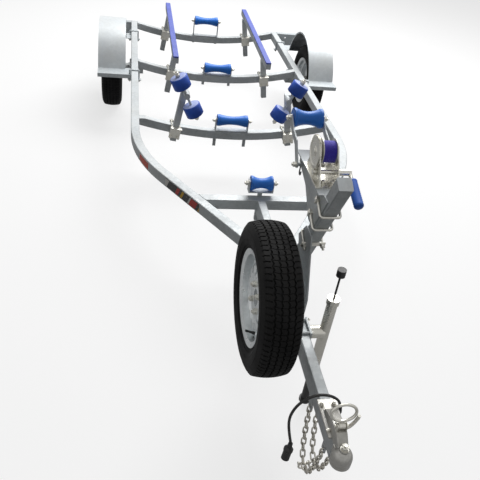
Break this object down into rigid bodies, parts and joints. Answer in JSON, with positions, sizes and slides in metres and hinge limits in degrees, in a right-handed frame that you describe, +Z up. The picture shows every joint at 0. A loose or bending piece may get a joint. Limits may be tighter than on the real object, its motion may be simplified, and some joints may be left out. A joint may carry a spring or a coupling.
{
  "type": "boat trailer",
  "caption": "Galvanised single-axle boat trailer with keel and side rollers, hull skids, winch post with strap winch, spare wheel, jack and ball coupling.",
  "frame": {"origin": "on the ground, at the centre of the trailer's bounding box", "axes": "+Z up, +Y to the trailer's open rear end, -Y to the coupling, +X to the trailer's left side"},
  "size_m": [1.788, 4.42, 1.176],
  "materials": {
    "black_plastic": "black moulded plastic",
    "black_rubber": "black rubber sheath",
    "cast": "galvanised casting",
    "galvanised": "hot-dip galvanised, pale grey with faint spangle",
    "jack_paint": "black and zinc steel",
    "rim": "galvanised pressed steel",
    "roller_blue": "bright blue polyethylene",
    "roller_navy": "dark blue ribbed moulding",
    "strap": "woven blue-violet webbing",
    "tyre": "black rubber with tread",
    "zinc": "zinc-plated steel"
  },
  "bodies": {
    "chassis": {"bow_roller_arms": "galvanised", "chain_lugs": "zinc", "coupling": "cast", "coupling_handle": "zinc", "crossmember_front": "galvanised", "crossmember_middle": "galvanised", "crossmember_rear": "galvanised", "crossmember_third": "galvanised", "drawbar": "galvanised", "front_keel_bracket": "galvanised", "guard_steps_left": "galvanised", "guard_steps_right": "galvanised", "jack_clamp": "galvanised", "keel_brackets": "galvanised", "lamp_brackets": "galvanised", "lead_gland": "black_rubber", "mudguard_left": "galvanised", "mudguard_right": "galvanised", "rail_left": "galvanised", "rail_right": "galvanised", "safety_chains": "zinc", "skid_left": "galvanised", "skid_posts": "galvanised", "skid_right": "galvanised", "skid_strip_left": "roller_blue", "skid_strip_right": "roller_blue", "spare_carrier": "galvanised", "spare_rim": "rim", "spare_tyre": "tyre", "suspension_left": "galvanised", "suspension_right": "galvanised", "winch_frame": "zinc", "winch_mount": "galvanised", "winch_post": "galvanised", "wiring_lead": "black_rubber", "wiring_plug": "black_plastic", "wobble_posts": "galvanised"},
    "wheel_left": {"hub_left": "galvanised", "rim_left": "rim", "tyre_left": "tyre"},
    "wheel_right": {"hub_right": "galvanised", "rim_right": "rim", "tyre_right": "tyre"},
    "keel_roller_rear": {"keel_roller_rear": "roller_blue"},
    "keel_roller_middle": {"keel_roller_middle": "roller_blue"},
    "keel_roller_third": {"keel_roller_third": "roller_blue"},
    "keel_roller_front": {"keel_roller_front": "roller_blue"},
    "cradle_left": {"wobble_bar_left": "galvanised"},
    "cradle_right": {"wobble_bar_right": "galvanised"},
    "upper_roller_left": {"wobble_upper_left": "roller_navy"},
    "lower_roller_left": {"wobble_lower_left": "roller_navy"},
    "upper_roller_right": {"wobble_upper_right": "roller_navy"},
    "lower_roller_right": {"wobble_lower_right": "roller_navy"},
    "bow_roller": {"bow_roller": "roller_blue"},
    "winch_drum": {"winch_drum": "zinc", "winch_strap": "strap"},
    "winch_crank": {"winch_crank": "zinc"},
    "jack": {"jack_tube": "zinc"},
    "jack_leg": {"jack_leg": "jack_paint"}
  },
  "joints": [
    {"name": "wheel_left_spin", "type": "hinge", "parent": "chassis", "child": "wheel_left", "pos_m": [0.8035, 1.405, 0.286], "axis": [1, 0, 0], "continuous": true},
    {"name": "wheel_right_spin", "type": "hinge", "parent": "chassis", "child": "wheel_right", "pos_m": [-0.8035, 1.405, 0.286], "axis": [1, 0, 0], "continuous": true},
    {"name": "keel_rear_spin", "type": "hinge", "parent": "chassis", "child": "keel_roller_rear", "pos_m": [0, 2.13, 0.497], "axis": [1, 0, 0], "continuous": true},
    {"name": "keel_middle_spin", "type": "hinge", "parent": "chassis", "child": "keel_roller_middle", "pos_m": [0, 1.187, 0.418], "axis": [1, 0, 0], "continuous": true},
    {"name": "keel_third_spin", "type": "hinge", "parent": "chassis", "child": "keel_roller_third", "pos_m": [0, 0.326, 0.388], "axis": [1, 0, 0], "continuous": true},
    {"name": "keel_front_spin", "type": "hinge", "parent": "chassis", "child": "keel_roller_front", "pos_m": [0, -0.668, 0.513], "axis": [1, 0, 0], "continuous": true},
    {"name": "bow_roller_spin", "type": "hinge", "parent": "chassis", "child": "bow_roller", "pos_m": [0, -1.175, 1.112], "axis": [1, 0, 0], "continuous": true},
    {"name": "cradle_left_rock", "type": "hinge", "parent": "chassis", "child": "cradle_left", "pos_m": [0.322, 0.2, 0.593], "axis": [0, 1, 0], "range_deg": [-3, 83]},
    {"name": "upper_roller_left_spin", "type": "hinge", "parent": "cradle_left", "child": "upper_roller_left", "pos_m": [0.36604, 0.2, 0.67943], "axis": [0.454, 0, 0.891], "continuous": true},
    {"name": "lower_roller_left_spin", "type": "hinge", "parent": "cradle_left", "child": "lower_roller_left", "pos_m": [0.27796, 0.2, 0.50657], "axis": [0.454, 0, 0.891], "continuous": true},
    {"name": "cradle_right_rock", "type": "hinge", "parent": "chassis", "child": "cradle_right", "pos_m": [-0.322, 0.2, 0.593], "axis": [0, -1, 0], "range_deg": [-3, 83]},
    {"name": "upper_roller_right_spin", "type": "hinge", "parent": "cradle_right", "child": "upper_roller_right", "pos_m": [-0.36604, 0.2, 0.67943], "axis": [-0.454, 0, 0.891], "continuous": true},
    {"name": "lower_roller_right_spin", "type": "hinge", "parent": "cradle_right", "child": "lower_roller_right", "pos_m": [-0.27796, 0.2, 0.50657], "axis": [-0.454, 0, 0.891], "continuous": true},
    {"name": "winch_drum_turn", "type": "hinge", "parent": "chassis", "child": "winch_drum", "pos_m": [0, -1.453, 1.119], "axis": [1, 0, 0], "continuous": true},
    {"name": "winch_crank_turn", "type": "hinge", "parent": "chassis", "child": "winch_crank", "pos_m": [0, -1.488, 1.05838], "axis": [1, 0, 0], "continuous": true},
    {"name": "jack_swing", "type": "hinge", "parent": "chassis", "child": "jack", "pos_m": [0.05, -1.625, 0.42], "axis": [1, 0, 0], "range_deg": [0, 90]},
    {"name": "jack_lift", "type": "slide", "parent": "jack", "child": "jack_leg", "axis": [0, 0, 1], "range_m": [-0.025, 0.14]}
  ],
  "couplings": [
    {"joint": "winch_crank_turn", "follows": "winch_drum_turn", "ratio": -4.8333}
  ]
}
